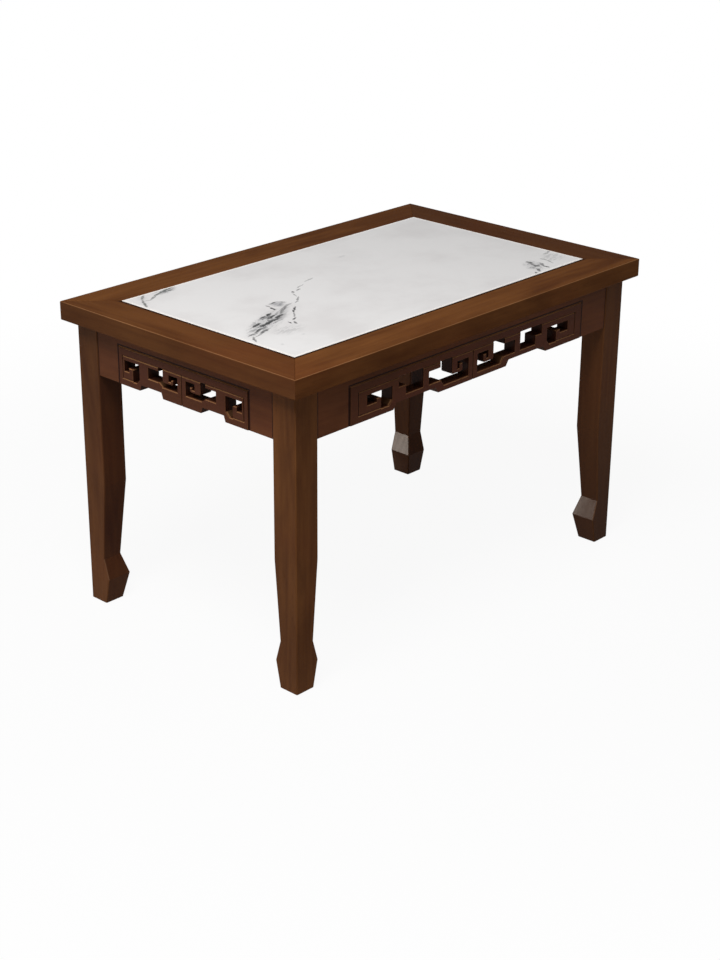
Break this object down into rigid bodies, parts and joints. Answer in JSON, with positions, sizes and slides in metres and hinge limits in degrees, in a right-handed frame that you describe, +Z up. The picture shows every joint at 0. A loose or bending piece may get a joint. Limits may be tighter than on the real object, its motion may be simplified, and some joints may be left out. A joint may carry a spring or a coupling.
{
  "type": "dining table",
  "caption": "Rectangular dining table in the Chinese manner: stone slab set flush in a mitred walnut frame, aprons with pierced fretwork, square legs ending in hoof feet.",
  "frame": {"origin": "on the floor, under the middle of the top", "axes": "+X along the table, +Y across it from the side seen in the picture to the far side, +Z up"},
  "size_m": [1.2, 0.75, 0.75],
  "materials": {
    "walnut": "satin lacquer",
    "hardwood": "planed, unfinished",
    "plywood": "sanded, unfinished",
    "stone": "polished",
    "silicone": "cured bead",
    "zinc_steel": "zinc plated"
  },
  "bodies": {
    "root": {"apron_back": "walnut", "apron_front": "walnut", "apron_left": "walnut", "apron_right": "walnut", "backing_board": "plywood", "batten_left": "hardwood", "batten_middle": "hardwood", "batten_right": "hardwood", "batten_screws": "zinc_steel", "bolt_nuts": "zinc_steel", "bolt_washers": "zinc_steel", "bracket_screws": "zinc_steel", "corner_block_back_left": "hardwood", "corner_block_back_right": "hardwood", "corner_block_front_left": "hardwood", "corner_block_front_right": "hardwood", "corner_block_screws": "zinc_steel", "fret_panel_back": "walnut", "fret_panel_front": "walnut", "fret_panel_left": "walnut", "fret_panel_right": "walnut", "hanger_bolts": "zinc_steel", "leg_back_left": "walnut", "leg_back_right": "walnut", "leg_front_left": "walnut", "leg_front_right": "walnut", "mitre_tenon_back_left": "hardwood", "mitre_tenon_back_right": "hardwood", "mitre_tenon_front_left": "hardwood", "mitre_tenon_front_right": "hardwood", "slab_adhesive": "silicone", "stone_slab": "stone", "top_brackets": "zinc_steel", "top_rail_back": "walnut", "top_rail_front": "walnut", "top_rail_left": "walnut", "top_rail_right": "walnut", "top_screws": "zinc_steel"}
  },
  "joints": []
}
